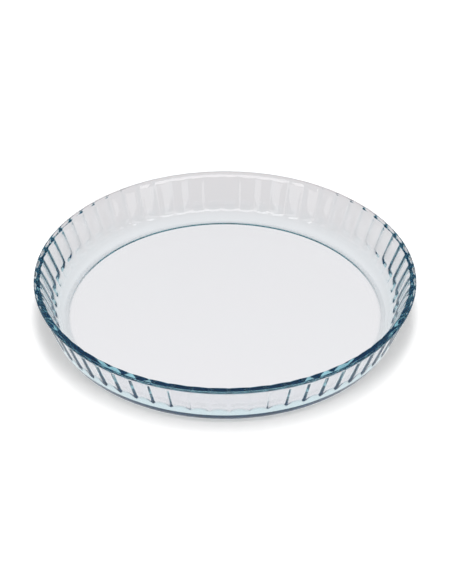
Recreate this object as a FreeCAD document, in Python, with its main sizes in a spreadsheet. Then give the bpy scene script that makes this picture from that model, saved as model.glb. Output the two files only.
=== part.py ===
import FreeCAD, Part
import math
import os
import re
import Sketcher
from FreeCAD import Vector

# Fluted tart dish pressed in one piece of clear glass. It stands on the XY plane with its axis on Z.
# The flutes are hollow outside and swell inwards, with sharp ridges between them.

NODE = "glass_dish"
SHEET = "sizes"

# Driving sizes, in millimetres, degrees and counts
DRIVING_SIZES = {
    "rim_diameter": 280,
    "dish_height": 38,
    "lip_height": 2.4,
    "lip_overhang": 0.5,
    "rim_rounding": 1.0,
    "wall_lean": 20,
    "wall_thickness": 4.8,
    "floor_thickness": 4.4,
    "heel_radius": 11,
    "bowl_fillet": 13,
    "foot_width": 1.0,
    "recess_depth": 0.6,
    "recess_slope": 3.6,
    "flute_count": 62,
    "flute_depth": 1.3,
    "flute_foot": 12.0,
    "foot_runout": 4.5,
    "lip_runout": 2.4,
    "ridge_width": 0.8,
    "rib_height": 1.1,
    "rib_end_height": 0.3,
    "rib_foot": 9.0,
    "rib_rise": 11.0,
    "rib_fade": 7.0,
    "rib_root": 0.6,
    "crease_width": 0.8,
    "runout_clearance": 0.2,
}

# Lines of the flutes, as formulas of a level over the table
LIP_LEVEL = "(dish_height - lip_height)"
FLOOR_LEVEL = "(recess_depth + floor_thickness)"
RIDGE_RADIUS = "(rim_diameter / 2 - lip_overhang - tan(wall_lean * 1 deg) * ({lip} - ({level})))"
CREASE_RADIUS = "({ridge} - wall_thickness / cos(wall_lean * 1 deg))"
PITCH = "(2 * pi * {radius} / flute_count)"
RADIUS_ON_CHORD = "(({chord}^2 / 4 + {rise}^2) / (2 * {rise}))"

# Sketch numbering of the origin, the two axes and the points of an edge
ORIGIN_POINT = (-1, 1)
RADIUS_AXIS = -1
TURNING_AXIS = -2
START = 1
END = 2
CENTRE = 3
UPWARDS = Vector(0, 0, 1)
QUARTER = math.pi / 2
FULL_TURN = 360

doc = FreeCAD.newDocument("fluted_tart_dish")
sheet = doc.addObject("Spreadsheet::Sheet", SHEET)
for row, (alias, value) in enumerate(DRIVING_SIZES.items(), start=1):
    sheet.set(f"A{row}", alias)
    sheet.set(f"B{row}", str(value))
    sheet.setAlias(f"B{row}", alias)
doc.recompute()


# A formula in the sheet's aliases, which all have an underscore, as an expression and as a number
def on_sheet(formula):
    return re.sub(r"[a-z]+(?:_[a-z]+)+", lambda alias: f"{SHEET}.{alias.group()}", formula)


def number(formula):
    return float(sheet.evalExpression(on_sheet(formula)))


def ridge_at(level):
    return RIDGE_RADIUS.format(lip=LIP_LEVEL, level=level)


def crease_at(level):
    return CREASE_RADIUS.format(ridge=ridge_at(level))


def origin_feature(body, role):
    return next(feature for feature in body.Origin.OriginFeatures if feature.Role == role)


def new_sketch(body, name, role):
    sketch = body.newObject("Sketcher::SketchObject", name)
    sketch.AttachmentSupport = (origin_feature(body, role), [""])
    sketch.MapMode = "FlatFace"
    return sketch


def level_sketch(body, name, level):
    sketch = new_sketch(body, name, "XY_Plane")
    sketch.setExpression("AttachmentOffset.Base.z", on_sheet(level))
    return sketch


def line(start, end):
    return Part.LineSegment(Vector(*start, 0), Vector(*end, 0))


def arc(centre, radius, first_angle, last_angle):
    return Part.ArcOfCircle(Part.Circle(Vector(*centre, 0), UPWARDS, radius), first_angle, last_angle)


def join(sketch, first, second):
    sketch.addConstraint(Sketcher.Constraint("Coincident", *first, *second))


def smooth_join(sketch, first, second):
    sketch.addConstraint(Sketcher.Constraint("Tangent", *first, *second))


def bind(sketch, name, formula, kind, *geometry):
    index = sketch.addConstraint(Sketcher.Constraint(kind, *geometry, number(formula)))
    sketch.renameConstraint(index, name)
    sketch.setExpression(f"Constraints.{name}", on_sheet(formula))


# Half section of the plain dish: foot, heel, leaning wall, lip, bowl and floor
def draw_dish_section(body):
    sketch = new_sketch(body, "dish_section", "XZ_Plane")
    lean = math.radians(number("wall_lean"))
    corner_share = math.tan((QUARTER - lean) / 2)
    rim_radius = number("rim_diameter / 2")
    top = number("dish_height")
    lip_level = number(LIP_LEVEL)
    floor_level = number(FLOOR_LEVEL)
    recess_level = number("recess_depth")
    heel = number("heel_radius")
    heel_reach = heel * corner_share
    fillet = number("bowl_fillet")
    fillet_reach = fillet * corner_share
    rounding = number("rim_rounding")
    wall_foot = number(ridge_at(0))
    bowl_corner = number(crease_at(FLOOR_LEVEL))

    foot_edge = (wall_foot - heel_reach, 0)
    foot_inside = (foot_edge[0] - number("foot_width"), 0)
    recess_edge = (foot_inside[0] - number("recess_slope"), recess_level)
    heel_top = (wall_foot + heel_reach * math.sin(lean), heel_reach * math.cos(lean))
    wall_top = (number(ridge_at(LIP_LEVEL)), lip_level)
    lip_corner = (rim_radius, lip_level)
    rim_inside = (number(crease_at("dish_height")), top)
    fillet_top = (bowl_corner + fillet_reach * math.sin(lean), floor_level + fillet_reach * math.cos(lean))
    fillet_foot = (bowl_corner - fillet_reach, floor_level)

    outline = {
        "recess": line((0, recess_level), recess_edge),
        "step": line(recess_edge, foot_inside),
        "foot": line(foot_inside, foot_edge),
        "heel": arc((foot_edge[0], heel), heel, -QUARTER, -lean),
        "wall": line(heel_top, wall_top),
        "lip_under": line(wall_top, lip_corner),
        "lip_face": line(lip_corner, (rim_radius, top - rounding)),
        "rim_edge": arc((rim_radius - rounding, top - rounding), rounding, 0, QUARTER),
        "rim_top": line((rim_radius - rounding, top), rim_inside),
        "bowl_wall": line(rim_inside, fillet_top),
        "fillet": arc((fillet_foot[0], floor_level + fillet), fillet, -QUARTER, -lean),
        "floor": line(fillet_foot, (0, floor_level)),
        "axis": line((0, floor_level), (0, recess_level)),
    }
    edge = dict(zip(outline, sketch.addGeometry(list(outline.values()), False)))

    for first, second in (
        ("recess", "step"),
        ("step", "foot"),
        ("wall", "lip_under"),
        ("lip_under", "lip_face"),
        ("rim_top", "bowl_wall"),
        ("floor", "axis"),
        ("axis", "recess"),
    ):
        join(sketch, (edge[first], END), (edge[second], START))
    smooth_join(sketch, (edge["foot"], END), (edge["heel"], START))
    smooth_join(sketch, (edge["heel"], END), (edge["wall"], START))
    smooth_join(sketch, (edge["lip_face"], END), (edge["rim_edge"], START))
    smooth_join(sketch, (edge["rim_edge"], END), (edge["rim_top"], START))
    smooth_join(sketch, (edge["bowl_wall"], END), (edge["fillet"], END))
    smooth_join(sketch, (edge["fillet"], START), (edge["floor"], START))
    for name in ("recess", "foot", "lip_under", "rim_top", "floor"):
        sketch.addConstraint(Sketcher.Constraint("Horizontal", edge[name]))
    for name in ("lip_face", "axis"):
        sketch.addConstraint(Sketcher.Constraint("Vertical", edge[name]))
    sketch.addConstraint(Sketcher.Constraint("PointOnObject", edge["foot"], START, RADIUS_AXIS))
    sketch.addConstraint(Sketcher.Constraint("PointOnObject", edge["axis"], START, TURNING_AXIS))
    sketch.addConstraint(Sketcher.Constraint("Parallel", edge["wall"], edge["bowl_wall"]))

    lip_start = (edge["lip_face"], START)
    bind(sketch, "rim_radius", "rim_diameter / 2", "DistanceX", *ORIGIN_POINT, *lip_start)
    bind(sketch, "lip_level", LIP_LEVEL, "DistanceY", *ORIGIN_POINT, *lip_start)
    bind(sketch, "rim_level", "dish_height", "DistanceY", *ORIGIN_POINT, edge["rim_top"], START)
    for alias, name in (("lip_overhang", "lip_under"), ("foot_width", "foot"), ("recess_slope", "step")):
        bind(sketch, alias, alias, "DistanceX", edge[name], START, edge[name], END)
    bind(sketch, "recess_depth", "recess_depth", "DistanceY", edge["step"], END, edge["step"], START)
    bind(sketch, "floor_thickness", "floor_thickness", "DistanceY", edge["axis"], END, edge["axis"], START)
    bind(sketch, "wall_thickness", "wall_thickness", "Distance", edge["bowl_wall"], END, edge["wall"])
    bind(sketch, "heel_radius", "heel_radius", "Radius", edge["heel"])
    bind(sketch, "rim_rounding", "rim_rounding", "Radius", edge["rim_edge"])
    bind(sketch, "bowl_fillet", "bowl_fillet", "Radius", edge["fillet"])
    slope = sketch.addConstraint(Sketcher.Constraint("Angle", edge["wall"], QUARTER - lean))
    sketch.setExpression(f"Constraints[{slope}]", on_sheet("(90 - wall_lean) * 1 deg"))
    return sketch


# One round section of a flute's scoop, its deepest point a depth inside the ridge line
def draw_scoop(body, name, level, depth):
    sketch = level_sketch(body, name, level)
    chord = f"({PITCH.format(radius=ridge_at(level))} - ridge_width)"
    radius = RADIUS_ON_CHORD.format(chord=chord, rise="flute_depth")
    reach = f"({ridge_at(level)} + {radius} - ({depth}))"
    middle = Vector(number(reach), 0, 0)
    circle = sketch.addGeometry(Part.Circle(middle, UPWARDS, number(radius)), False)
    sketch.addConstraint(Sketcher.Constraint("PointOnObject", circle, CENTRE, RADIUS_AXIS))
    bind(sketch, "scoop_radius", radius, "Radius", circle)
    bind(sketch, "scoop_reach", reach, "DistanceX", *ORIGIN_POINT, circle, CENTRE)
    return sketch


# One section of the swelling behind a flute: a bulge towards the axis, on a chord sunk in the wall
def draw_rib(body, name, level, height):
    sketch = level_sketch(body, name, level)
    root = f"({crease_at(level)} + rib_root)"
    chord = f"({PITCH.format(radius=root)} - crease_width)"
    radius = RADIUS_ON_CHORD.format(chord=chord, rise=f"({height} + rib_root)")
    root_at = number(root)
    half_chord = number(chord) / 2
    bulge_radius = number(radius)
    half_angle = math.asin(half_chord / bulge_radius)
    middle = (root_at + bulge_radius * math.cos(half_angle), 0)
    bulge, root_edge = sketch.addGeometry(
        [
            arc(middle, bulge_radius, math.pi - half_angle, math.pi + half_angle),
            line((root_at, -half_chord), (root_at, half_chord)),
        ],
        False,
    )
    join(sketch, (bulge, END), (root_edge, START))
    join(sketch, (bulge, START), (root_edge, END))
    ends = (root_edge, START, root_edge, END)
    sketch.addConstraint(Sketcher.Constraint("Symmetric", *ends, RADIUS_AXIS))
    bind(sketch, "root_reach", root, "DistanceX", *ORIGIN_POINT, root_edge, START)
    bind(sketch, "root_chord", chord, "DistanceY", *ends)
    bind(sketch, "bulge_radius", radius, "Radius", bulge)
    return sketch


# Section of the ring of waste that rounds the swellings at the rim
def draw_rim_relief(body):
    sketch = new_sketch(body, "rim_relief_section", "XZ_Plane")
    inside = f"({crease_at('dish_height')} - rib_end_height)"
    inside_at = number(inside)
    top = number("dish_height")
    rounding = number("rim_rounding")
    relief, top_edge, side_edge = sketch.addGeometry(
        [
            arc((inside_at + rounding, top - rounding), rounding, QUARTER, math.pi),
            line((inside_at, top), (inside_at + rounding, top)),
            line((inside_at, top - rounding), (inside_at, top)),
        ],
        False,
    )
    join(sketch, (top_edge, START), (side_edge, END))
    smooth_join(sketch, (top_edge, END), (relief, START))
    smooth_join(sketch, (relief, END), (side_edge, START))
    sketch.addConstraint(Sketcher.Constraint("Horizontal", top_edge))
    sketch.addConstraint(Sketcher.Constraint("Vertical", side_edge))
    bind(sketch, "relief_radius", "rim_rounding", "Radius", relief)
    bind(sketch, "rim_level", "dish_height", "DistanceY", *ORIGIN_POINT, side_edge, END)
    bind(sketch, "inside_reach", inside, "DistanceX", *ORIGIN_POINT, side_edge, END)
    return sketch


def add_feature(body, kind, name, **settings):
    feature = body.newObject(kind, name)
    for setting, value in settings.items():
        setattr(feature, setting, value)
    body.Tip = feature
    doc.recompute()
    return feature


def turn(body, kind, name, section):
    axis = (section, ["V_Axis"])
    return add_feature(body, kind, name, Profile=section, ReferenceAxis=axis, Angle=FULL_TURN)


def loft(body, kind, name, sections):
    return add_feature(body, kind, name, Profile=sections[0], Sections=sections[1:], Ruled=True)


def repeat_round(body, name, feature):
    axis = (origin_feature(body, "Z_Axis"), [""])
    pattern = add_feature(body, "PartDesign::PolarPattern", name, Originals=[feature], Axis=axis, Angle=FULL_TURN)
    pattern.setExpression("Occurrences", on_sheet("flute_count"))
    doc.recompute()
    return pattern


def require(condition, message):
    if not condition:
        raise RuntimeError(message)


dish = doc.addObject("PartDesign::Body", NODE)
dish.Label = NODE
blank = turn(dish, "PartDesign::Revolution", "dish_blank", draw_dish_section(dish))

scoop_sections = [
    draw_scoop(dish, "scoop_foot", "flute_foot", "-runout_clearance"),
    draw_scoop(dish, "scoop_low", "(flute_foot + foot_runout)", "flute_depth"),
    draw_scoop(dish, "scoop_high", f"({LIP_LEVEL} - lip_runout)", "flute_depth"),
    draw_scoop(dish, "scoop_top", LIP_LEVEL, "-runout_clearance"),
]
flute = loft(dish, "PartDesign::SubtractiveLoft", "flute", scoop_sections)
flutes = repeat_round(dish, "flutes", flute)

rib_sections = [
    draw_rib(dish, "rib_start", "rib_foot", "rib_end_height"),
    draw_rib(dish, "rib_low", "(rib_foot + rib_rise)", "rib_height"),
    draw_rib(dish, "rib_high", "(dish_height - rib_fade)", "rib_height"),
    draw_rib(dish, "rib_top", "dish_height", "rib_end_height"),
]
rib = loft(dish, "PartDesign::AdditiveLoft", "rib", rib_sections)
ribs = repeat_round(dish, "ribs", rib)
rim_relief = turn(dish, "PartDesign::Groove", "rim_relief", draw_rim_relief(dish))

for item in doc.Objects:
    require("Invalid" not in item.State and "Error" not in item.State, f"{item.Name} failed: {item.State}")
require(flutes.Shape.Volume < flute.Shape.Volume < blank.Shape.Volume, "the flutes cut nothing")
require(ribs.Shape.Volume > rib.Shape.Volume > flutes.Shape.Volume, "the ribs add nothing")
require(rim_relief.Shape.Volume < ribs.Shape.Volume, "the rim relief cuts nothing")
require(not dish.Shape.isNull() and dish.Shape.isValid(), f"{NODE} has no valid shape")
require(len(dish.Shape.Solids) == 1, f"{NODE} is not one solid")

os.makedirs("parts", exist_ok=True)
dish.Shape.exportStep(os.path.join("parts", f"{NODE}.step"))
box = dish.Shape.optimalBoundingBox()
print(f"{NODE}: {box.XLength:.1f} x {box.YLength:.1f} x {box.ZLength:.1f} mm, {dish.Shape.Volume / 1000:.1f} cm3")
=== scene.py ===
import math

import bmesh
import bpy
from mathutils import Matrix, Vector


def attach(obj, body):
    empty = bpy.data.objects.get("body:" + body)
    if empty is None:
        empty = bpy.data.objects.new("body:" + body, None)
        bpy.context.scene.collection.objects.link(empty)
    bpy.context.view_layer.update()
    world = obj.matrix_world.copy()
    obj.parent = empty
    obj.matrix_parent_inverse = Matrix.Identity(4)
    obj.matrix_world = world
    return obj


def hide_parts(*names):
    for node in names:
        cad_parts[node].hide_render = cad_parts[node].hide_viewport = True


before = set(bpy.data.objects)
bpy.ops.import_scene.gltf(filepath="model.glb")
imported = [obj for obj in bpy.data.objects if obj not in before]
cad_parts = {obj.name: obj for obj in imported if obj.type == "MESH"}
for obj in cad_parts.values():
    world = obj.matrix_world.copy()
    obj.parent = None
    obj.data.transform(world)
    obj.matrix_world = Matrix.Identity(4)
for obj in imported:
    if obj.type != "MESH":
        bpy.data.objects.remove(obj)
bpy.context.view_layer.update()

MM = 0.001

# Sizes of the dish, in millimetres
RIM_RADIUS = 140.0
DISH_HEIGHT = 38.0
LIP_LEVEL = 35.6
LIP_OVERHANG = 0.5
LIP_FILLET = 0.7
RIM_ROUNDING = 1.0
WALL_LEAN = math.radians(20)
WALL_SLOPE = math.tan(WALL_LEAN)
WALL_THICKNESS = 4.8 / math.cos(WALL_LEAN)
FLOOR_LEVEL = 5.0
HEEL_RADIUS = 11.0
BOWL_FILLET = 13.0
FOOT_WIDTH = 1.0
RECESS_DEPTH = 0.6
RECESS_SLOPE = 3.6

# Flutes: hollow outside, swollen inside, one every 62nd of a turn
FLUTES = 62
HALF_PITCH = math.pi / FLUTES
FLUTE_DEPTH = 1.1
FLUTE_FOOT = 11.5
FOOT_RUNOUT = 6.0
LIP_RUNOUT = 1.9
SWELL = 0.85
RIM_SWELL = 0.4
SWELL_FADE = 9.0
SWELL_FOOT = 7.0
SWELL_RISE = 8.0
RIPPLE_SHARE = 0.7
RIPPLE_RISE = 8.0

# How finely the mesh is divided: points across a flute, points on each bend, and rings on the flat parts
FLUTE_STEPS = 14
BEND_POINTS = 13
RIM_POINTS = 8
WALL_POINTS = 14
UNDERSIDE_RINGS = (24, 60, 90)
FLOOR_RINGS = (60, 24)
HEEL_LEVELS = (8.6, 9.3)
LIP_RUNOUT_TURNS = (0, 12, 24, 36, 48, 58, 67, 75, 82)
LIP_FILLET_SHARES = (0.15, 0.35, 0.5, 0.65, 0.85)
SMOOTH_ANGLE = math.radians(40)

# Glass: tints of its cords, and the blue-green that deepens with the way through it, per metre
CORD_TINT = (1, 0.908, 0.918, 1)
CORD_TINT_GREEN = (0.99, 0.914, 0.924, 1)
DEPTH_COLOUR = (0.0, 0.70, 0.825, 1)
DEPTH_DENSITY = 24.0

# Floor of the studio, seen directly and through glass. Through glass it has painted light near the foot and
# painted shade after turns in the glass
PAPER = (0.92, 0.92, 0.92, 1)
FLOOR_DROP = 0.3
FLOOR_WIDTH = 8
GLOW = 0.34
FAR_GLOW = 0.3
SHOWN_TONE = 0.86
PAINTED_FOOT_LIGHT = 0.17
PAINTED_TURN_SHADE = 0.28
SHOWN_SHARE = 0.93

# Frame of the photo in pixels, with the rim's middle and half its width there
FRAME_WIDTH = 452
FRAME_HEIGHT = 584
RIM_CENTRE_X = 225.0
RIM_CENTRE_Y = 270.5
RIM_HALF_WIDTH = 190.6
CAMERA_TILT = math.radians(35.1)
CAMERA_TURN = 0.0207
PERSPECTIVE = 0.1
SENSOR_HEIGHT = 36


def ease(share):
    share = min(max(share, 0.0), 1.0)
    return share * share * (3 - 2 * share)


def spread(first, last, count):
    return [first + (last - first) * step / (count - 1) for step in range(count)]


def arc_points(centre, radius, first, last, count):
    turns = [math.radians(angle) for angle in spread(first, last, count)]
    return [(centre[0] + radius * math.cos(turn), centre[1] + radius * math.sin(turn)) for turn in turns]


def ridge(level):
    return RIM_RADIUS - LIP_OVERHANG - WALL_SLOPE * (LIP_LEVEL - level)


def crease(level):
    return ridge(level) - WALL_THICKNESS


# Length that a fillet takes off each of the two lines it joins, the floor and the leaning wall
def fillet_reach(radius):
    return math.tan((math.pi / 2 - WALL_LEAN) / 2) * radius


# Share of a flute's depth at a place across it, from -1 to 1 between two ridges
def scoop(across):
    return max(0.0, 1 - across**2)


# Rounded end of a flute: how much the end takes off its depth
def round_end(height, radius):
    height = min(max(height, 0.0), radius)
    return radius - math.sqrt(radius * radius - height * height)


# How far the inside of the wall swells in behind a flute
def swell(level):
    ripple = RIPPLE_SHARE * ease((level - FLOOR_LEVEL) / RIPPLE_RISE)
    low = ripple + (1 - RIPPLE_SHARE) * ease((level - SWELL_FOOT) / SWELL_RISE)
    high = RIM_SWELL + (SWELL - RIM_SWELL) * ease((DISH_HEIGHT - level) / SWELL_FADE)
    return low * high


# A row of the section has a radius, a level, the dip of a flute there and what the flute's end takes off it
def smooth_rows(points):
    return [(radius, level, 0, 0) for radius, level in points]


def swollen_rows(points):
    return [(radius, level, swell(level), 0) for radius, level in points]


def underside_rows():
    foot_edge = ridge(0) - fillet_reach(HEEL_RADIUS)
    step = foot_edge - FOOT_WIDTH
    points = [(radius, RECESS_DEPTH) for radius in (*UNDERSIDE_RINGS, step - RECESS_SLOPE - 3)]
    for share in spread(0, 1, BEND_POINTS):
        points.append((step - RECESS_SLOPE * (1 - share), RECESS_DEPTH * (1 - ease(share))))
    points += arc_points((foot_edge, HEEL_RADIUS), HEEL_RADIUS, -90, -math.degrees(WALL_LEAN), BEND_POINTS)
    return smooth_rows(points)


def outside_rows():
    runout = LIP_LEVEL - LIP_RUNOUT
    levels = list(HEEL_LEVELS)
    levels += spread(FLUTE_FOOT, FLUTE_FOOT + FOOT_RUNOUT, 12)
    levels += spread(FLUTE_FOOT + FOOT_RUNOUT + 1.4, runout - 0.7, 6)
    levels += [runout + LIP_RUNOUT * math.sin(math.radians(turn)) for turn in LIP_RUNOUT_TURNS]
    rows = []
    for level in levels:
        dip = FLUTE_DEPTH * ease((level - FLUTE_FOOT) / FOOT_RUNOUT)
        rows.append((ridge(level), level, dip, round_end(level - runout, LIP_RUNOUT)))
    return rows


def rim_rows():
    foot = ridge(LIP_LEVEL)
    points = [(foot, LIP_LEVEL)]
    for share in LIP_FILLET_SHARES:
        points.append((foot + LIP_OVERHANG * ease(share), LIP_LEVEL + LIP_FILLET * share))
    points.append((RIM_RADIUS, LIP_LEVEL + LIP_FILLET))
    middle = DISH_HEIGHT - RIM_ROUNDING
    points += arc_points((RIM_RADIUS - RIM_ROUNDING, middle), RIM_ROUNDING, 0, 90, RIM_POINTS)
    inner = (crease(DISH_HEIGHT) + RIM_ROUNDING, middle)
    bend = arc_points(inner, RIM_ROUNDING, 90, 180 - math.degrees(WALL_LEAN), RIM_POINTS)
    return smooth_rows(points) + swollen_rows(bend)


def bowl_rows():
    reach = fillet_reach(BOWL_FILLET)
    fillet_top = FLOOR_LEVEL + reach * math.cos(WALL_LEAN)
    floor_edge = crease(FLOOR_LEVEL) - reach
    levels = spread(DISH_HEIGHT - RIM_ROUNDING - 0.6, fillet_top, WALL_POINTS)
    wall = [(crease(level), level) for level in levels]
    centre = (floor_edge, FLOOR_LEVEL + BOWL_FILLET)
    bend = arc_points(centre, BOWL_FILLET, -math.degrees(WALL_LEAN), -90, BEND_POINTS)
    floor = [(radius, FLOOR_LEVEL) for radius in (floor_edge - 3, floor_edge - 14, *FLOOR_RINGS)]
    return swollen_rows(wall + bend[1:]) + smooth_rows(floor)


def pick_only(mesh, test):
    edit = bmesh.from_edit_mesh(mesh)
    for point in edit.verts:
        point.select = test(point)
    edit.select_flush_mode()
    bmesh.update_edit_mesh(mesh)


def across_flute(point):
    return math.atan2(point.co.y, point.co.x) / HALF_PITCH


def beside_first_flute(point):
    return abs(across_flute(point)) > 1.01


# The first row under the dish, still open after the section is drawn
def on_first_row(point):
    inside = math.hypot(*point.co.xy) < (UNDERSIDE_RINGS[0] + 0.1) * MM
    return point.is_boundary and inside and point.co.z < 2 * MM


# Draws the last row out to the next one, and then sinks it where the flute is
def draw_row(mesh, row, last):
    radius, level, dip, end = row
    bpy.ops.mesh.extrude_edges_move(TRANSFORM_OT_translate={"value": (0, 0, (level - last[1]) * MM)})
    edit = bmesh.from_edit_mesh(mesh)
    for point in edit.verts:
        if point.select:
            sunk = max(0.0, dip * scoop(across_flute(point)) - end)
            share = (radius - sunk) * MM / math.hypot(point.co.x, point.co.y)
            point.co.x *= share
            point.co.y *= share
    bmesh.update_edit_mesh(mesh)


# Draws the picked edge of a slice in to the axis, which closes a flat face
def draw_to_axis(level):
    bpy.ops.mesh.extrude_edges_move()
    bpy.ops.transform.resize(value=(0, 0, 1), center_override=(0, 0, level * MM))


# One slice of the dish, as wide as a flute, is drawn row by row and then spun round the axis
def model_dish():
    bpy.ops.object.select_all(action="DESELECT")
    rows = underside_rows() + outside_rows() + rim_rows() + bowl_rows()
    first = rows[0]
    bpy.ops.mesh.primitive_circle_add(
        vertices=FLUTES * FLUTE_STEPS, radius=first[0] * MM, location=(0, 0, 0)
    )
    dish = bpy.context.object
    dish.name = "pressed_glass_dish"
    bpy.ops.object.mode_set(mode="EDIT")
    bpy.ops.transform.translate(value=(0, 0, first[1] * MM))
    pick_only(dish.data, beside_first_flute)
    bpy.ops.mesh.delete(type="VERT")
    bpy.ops.mesh.select_all(action="SELECT")
    for last, row in zip(rows, rows[1:]):
        draw_row(dish.data, row, last)
    draw_to_axis(FLOOR_LEVEL)
    pick_only(dish.data, on_first_row)
    draw_to_axis(RECESS_DEPTH)
    bpy.ops.mesh.select_all(action="SELECT")
    others = FLUTES - 1
    bpy.ops.mesh.spin(
        steps=others, dupli=True, angle=2 * math.pi * others / FLUTES, center=(0, 0, 0), axis=(0, 0, 1)
    )
    bpy.ops.mesh.select_all(action="SELECT")
    bpy.ops.mesh.remove_doubles(threshold=0.00001)
    bpy.ops.mesh.normals_make_consistent(inside=False)
    bpy.ops.object.mode_set(mode="OBJECT")
    bpy.ops.object.shade_smooth_by_angle(angle=SMOOTH_ANGLE)
    return dish


# A socket of a node tree that takes part in Python expressions
class Value:
    def __init__(self, tree, socket):
        self.tree = tree
        self.socket = socket

    # Makes a node. A socket is given by its name, or as i and its number where names repeat
    def node(self, kind, settings=None, **sockets):
        made = self.tree.nodes.new(kind)
        for name, setting in (settings or {}).items():
            setattr(made, name, setting)
        for name, given in sockets.items():
            if name[1:].isdigit():
                socket = made.inputs[int(name[1:])]
            else:
                socket = made.inputs[name.replace("_", " ")]
            if isinstance(given, Value):
                self.tree.links.new(given.socket, socket)
            else:
                socket.default_value = given
        return made

    def out(self, kind, output, settings=None, **sockets):
        return Value(self.tree, self.node(kind, settings, **sockets).outputs[output])

    def maths(self, operation, first, second):
        return self.out("ShaderNodeMath", 0, {"operation": operation}, i0=first, i1=second)

    def soft_step(self, given, first, last):
        ease_in = {"interpolation_type": "SMOOTHSTEP"}
        return self.out("ShaderNodeMapRange", 0, ease_in, Value=given, From_Min=first, From_Max=last)

    def __add__(self, other):
        return self.maths("ADD", self, other)

    def __radd__(self, other):
        return self.maths("ADD", other, self)

    def __sub__(self, other):
        return self.maths("SUBTRACT", self, other)

    def __rsub__(self, other):
        return self.maths("SUBTRACT", other, self)

    def __mul__(self, other):
        return self.maths("MULTIPLY", self, other)

    def __rmul__(self, other):
        return self.maths("MULTIPLY", other, self)


def fresh_tree(owner):
    owner.use_nodes = True
    owner.node_tree.nodes.clear()
    return Value(owner.node_tree, None)


# Clear pressed glass: faint waves, cords of a slightly other tint, and a foot that is scuffed where it stands
def glass_finish():
    material = bpy.data.materials.new("clear_glass")
    make = fresh_tree(material)
    place = make.out("ShaderNodeTexCoord", "Object")
    wave = make.out("ShaderNodeTexNoise", 0, Vector=place, Scale=70.0, Detail=1.0, Roughness=0.4)
    bump = make.out("ShaderNodeBump", 0, Height=wave, Strength=0.03, Distance=0.001)
    level = make.out("ShaderNodeSeparateXYZ", "Z", Vector=place)
    scuff = make.out("ShaderNodeTexNoise", 0, Vector=place, Scale=400.0, Detail=3.0)
    worn = (1 - make.soft_step(level, 0.0001, 0.0004)) * (0.15 + scuff * 0.4)
    cord = make.out("ShaderNodeTexNoise", 0, Vector=place, Scale=18.0, Detail=2.0)
    tint = make.out("ShaderNodeMix", 2, {"data_type": "RGBA"}, i0=cord, i6=CORD_TINT, i7=CORD_TINT_GREEN)
    glass = make.out(
        "ShaderNodeBsdfPrincipled",
        0,
        Base_Color=tint,
        Roughness=worn,
        IOR=1.48,
        Normal=bump,
        Transmission_Weight=1.0,
    )
    inside = make.out("ShaderNodeVolumeAbsorption", 0, Color=DEPTH_COLOUR, Density=DEPTH_DENSITY)
    make.node("ShaderNodeOutputMaterial", Surface=glass, Volume=inside)
    return material


# Rays that the stage tells apart: from the camera, by way of glass, through glass, and turns inside the glass
def ray_kinds(make):
    path = make.node("ShaderNodeLightPath")
    names = ("Is Camera Ray", "Is Glossy Ray", "Is Transmission Ray", "Glossy Depth", "Diffuse Depth")
    camera, glossy, passed, turns, scattered = [Value(make.tree, path.outputs[name]) for name in names]
    direct = 1 - make.soft_step(scattered, 0.0, 1.0)
    return camera, make.maths("MAXIMUM", glossy, passed) * direct, passed * direct, turns


# Pale paper that keeps the shadow. By way of glass it shows a plain glowing tone, with painted light under
# and near the foot that stands in for light through the glass, and painted shade, darker after turns in the
# glass
def floor_finish():
    material = bpy.data.materials.new("pale_floor")
    make = fresh_tree(material)
    camera, through, _, turns = ray_kinds(make)
    # Painted shade: the floor seen after turns inside the glass is shown darker
    turned = make.soft_step(turns, 0.75, 2.5)
    place = make.out("ShaderNodeTexCoord", "Object")
    away = make.out("ShaderNodeVectorMath", "Value", {"operation": "LENGTH"}, i0=place)
    far = make.soft_step(away, 0.12, 0.4) + make.soft_step(away, 0.4, 2.0)
    # Painted light: by way of glass, the floor under and near the foot glows brighter and shows none of the
    # lit paper, standing in for light that comes through the glass
    under = 1 - make.soft_step(away, 0.112, 0.124)
    foot_light = 1 - make.soft_step(away, 0.122, 0.15)
    paper = make.out("ShaderNodeBsdfDiffuse", 0, Color=PAPER)
    glow = make.out("ShaderNodeEmission", 0, Color=camera * (GLOW + far * FAR_GLOW))
    lit = make.out("ShaderNodeAddShader", 0, i0=glow, i1=paper)
    tone = (SHOWN_TONE + foot_light * PAINTED_FOOT_LIGHT) * (1 - turned * PAINTED_TURN_SHADE)
    shown = make.out("ShaderNodeEmission", 0, Color=tone)
    share = through * (SHOWN_SHARE + under * (1 - SHOWN_SHARE))
    both = make.out("ShaderNodeMixShader", 0, i0=share, i1=lit, i2=shown)
    make.node("ShaderNodeOutputMaterial", Surface=both)
    return material


# The floor lies a little under the foot, so that the two faces don't coincide
def lay_floor():
    bpy.ops.object.select_all(action="DESELECT")
    bpy.ops.mesh.primitive_plane_add(size=FLOOR_WIDTH, location=(0, 0, 0))
    floor = bpy.context.object
    floor.name = "studio_floor"
    bpy.ops.object.mode_set(mode="EDIT")
    bpy.ops.transform.translate(value=(0, 0, -FLOOR_DROP * MM))
    bpy.ops.object.mode_set(mode="OBJECT")
    floor.data.materials.append(floor_finish())


# A soft dome, dark overhead, that is white behind the dish, as the backdrop is
def light_dome():
    world = bpy.data.worlds.new("studio")
    bpy.context.scene.world = world
    make = fresh_tree(world)
    place = make.out("ShaderNodeTexCoord", "Generated")
    height = make.out("ShaderNodeSeparateXYZ", "Z", Vector=place)
    dome = make.soft_step(height, 0.5, 0.75)
    top = make.soft_step(height, 0.9, 0.97)
    camera, _, passed, turns = ray_kinds(make)
    clear = make.maths("MAXIMUM", camera, passed * (1 - make.soft_step(turns, 0.0, 1.0)))
    studio = dome * (1 - top * 0.9) * 0.3 + 0.12
    light = make.out("ShaderNodeBackground", 0, Color=clear + (1 - clear) * studio)
    make.node("ShaderNodeOutputWorld", Surface=light)


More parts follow.
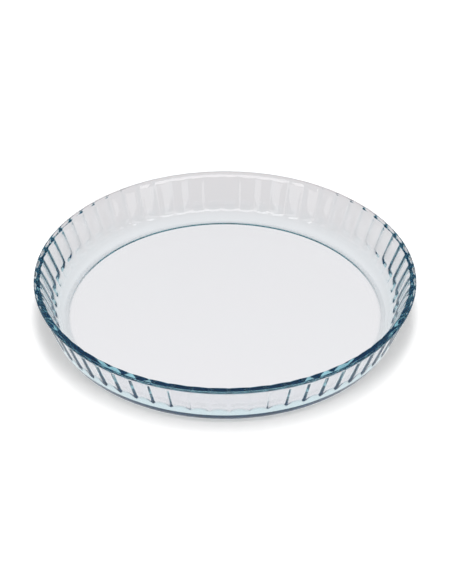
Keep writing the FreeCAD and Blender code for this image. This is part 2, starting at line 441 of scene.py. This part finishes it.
def hang_lamp(name, place, size, power):
    lamp = bpy.data.lights.new(name, "AREA")
    lamp.shape = "RECTANGLE"
    lamp.size, lamp.size_y = size
    lamp.energy = power
    holder = bpy.data.objects.new(name, lamp)
    bpy.context.scene.collection.objects.link(holder)
    holder.location = place
    holder.rotation_euler = Vector(place).to_track_quat("Z", "Y").to_euler()
    holder.visible_transmission = False
    return holder


# Three softboxes are mirrored in the glass, and the one above casts the shadow
def hang_softboxes():
    fills = [hang_lamp("front_softbox", (0, -1.5, 0.95), (3.6, 0.5), 22)]
    for side, name in ((-1, "left_softbox"), (1, "right_softbox")):
        fills.append(hang_lamp(name, (side * 1.3, -1.3, 0.25), (1.0, 0.5), 2.4))
    for fill in fills:
        fill.visible_diffuse = False
    key = hang_lamp("top_softbox", (0, -0.42, 1.5), (0.4, 1.1), 17)
    key.visible_glossy = False


def set_camera():
    distance = RIM_RADIUS * MM * math.cos(CAMERA_TILT) / PERSPECTIVE
    pixels = RIM_HALF_WIDTH * math.cos(CAMERA_TILT) / PERSPECTIVE
    camera = bpy.data.cameras.new("photo_camera")
    camera.sensor_fit = "VERTICAL"
    camera.sensor_height = SENSOR_HEIGHT
    camera.lens = SENSOR_HEIGHT * pixels / FRAME_HEIGHT
    camera.shift_x = (FRAME_WIDTH / 2 - RIM_CENTRE_X) / FRAME_HEIGHT
    camera.shift_y = (RIM_CENTRE_Y - FRAME_HEIGHT / 2) / FRAME_HEIGHT
    holder = bpy.data.objects.new("photo_camera", camera)
    bpy.context.scene.collection.objects.link(holder)
    away = math.cos(CAMERA_TILT) * distance
    height = DISH_HEIGHT * MM + math.sin(CAMERA_TILT) * distance
    holder.location = (-away * math.sin(CAMERA_TURN), -away * math.cos(CAMERA_TURN), height)
    holder.rotation_euler = (math.pi / 2 - CAMERA_TILT, 0, -CAMERA_TURN)
    bpy.context.scene.camera = holder


dish = model_dish()
dish.data.materials.append(glass_finish())
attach(dish, "root")
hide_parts("glass_dish")

lay_floor()
light_dome()
hang_softboxes()
set_camera()

scene = bpy.context.scene
scene.view_settings.view_transform = "Standard"
scene.cycles.max_bounces = 80
scene.cycles.glossy_bounces = 80
scene.cycles.transmission_bounces = 80
scene.cycles.blur_glossy = 0
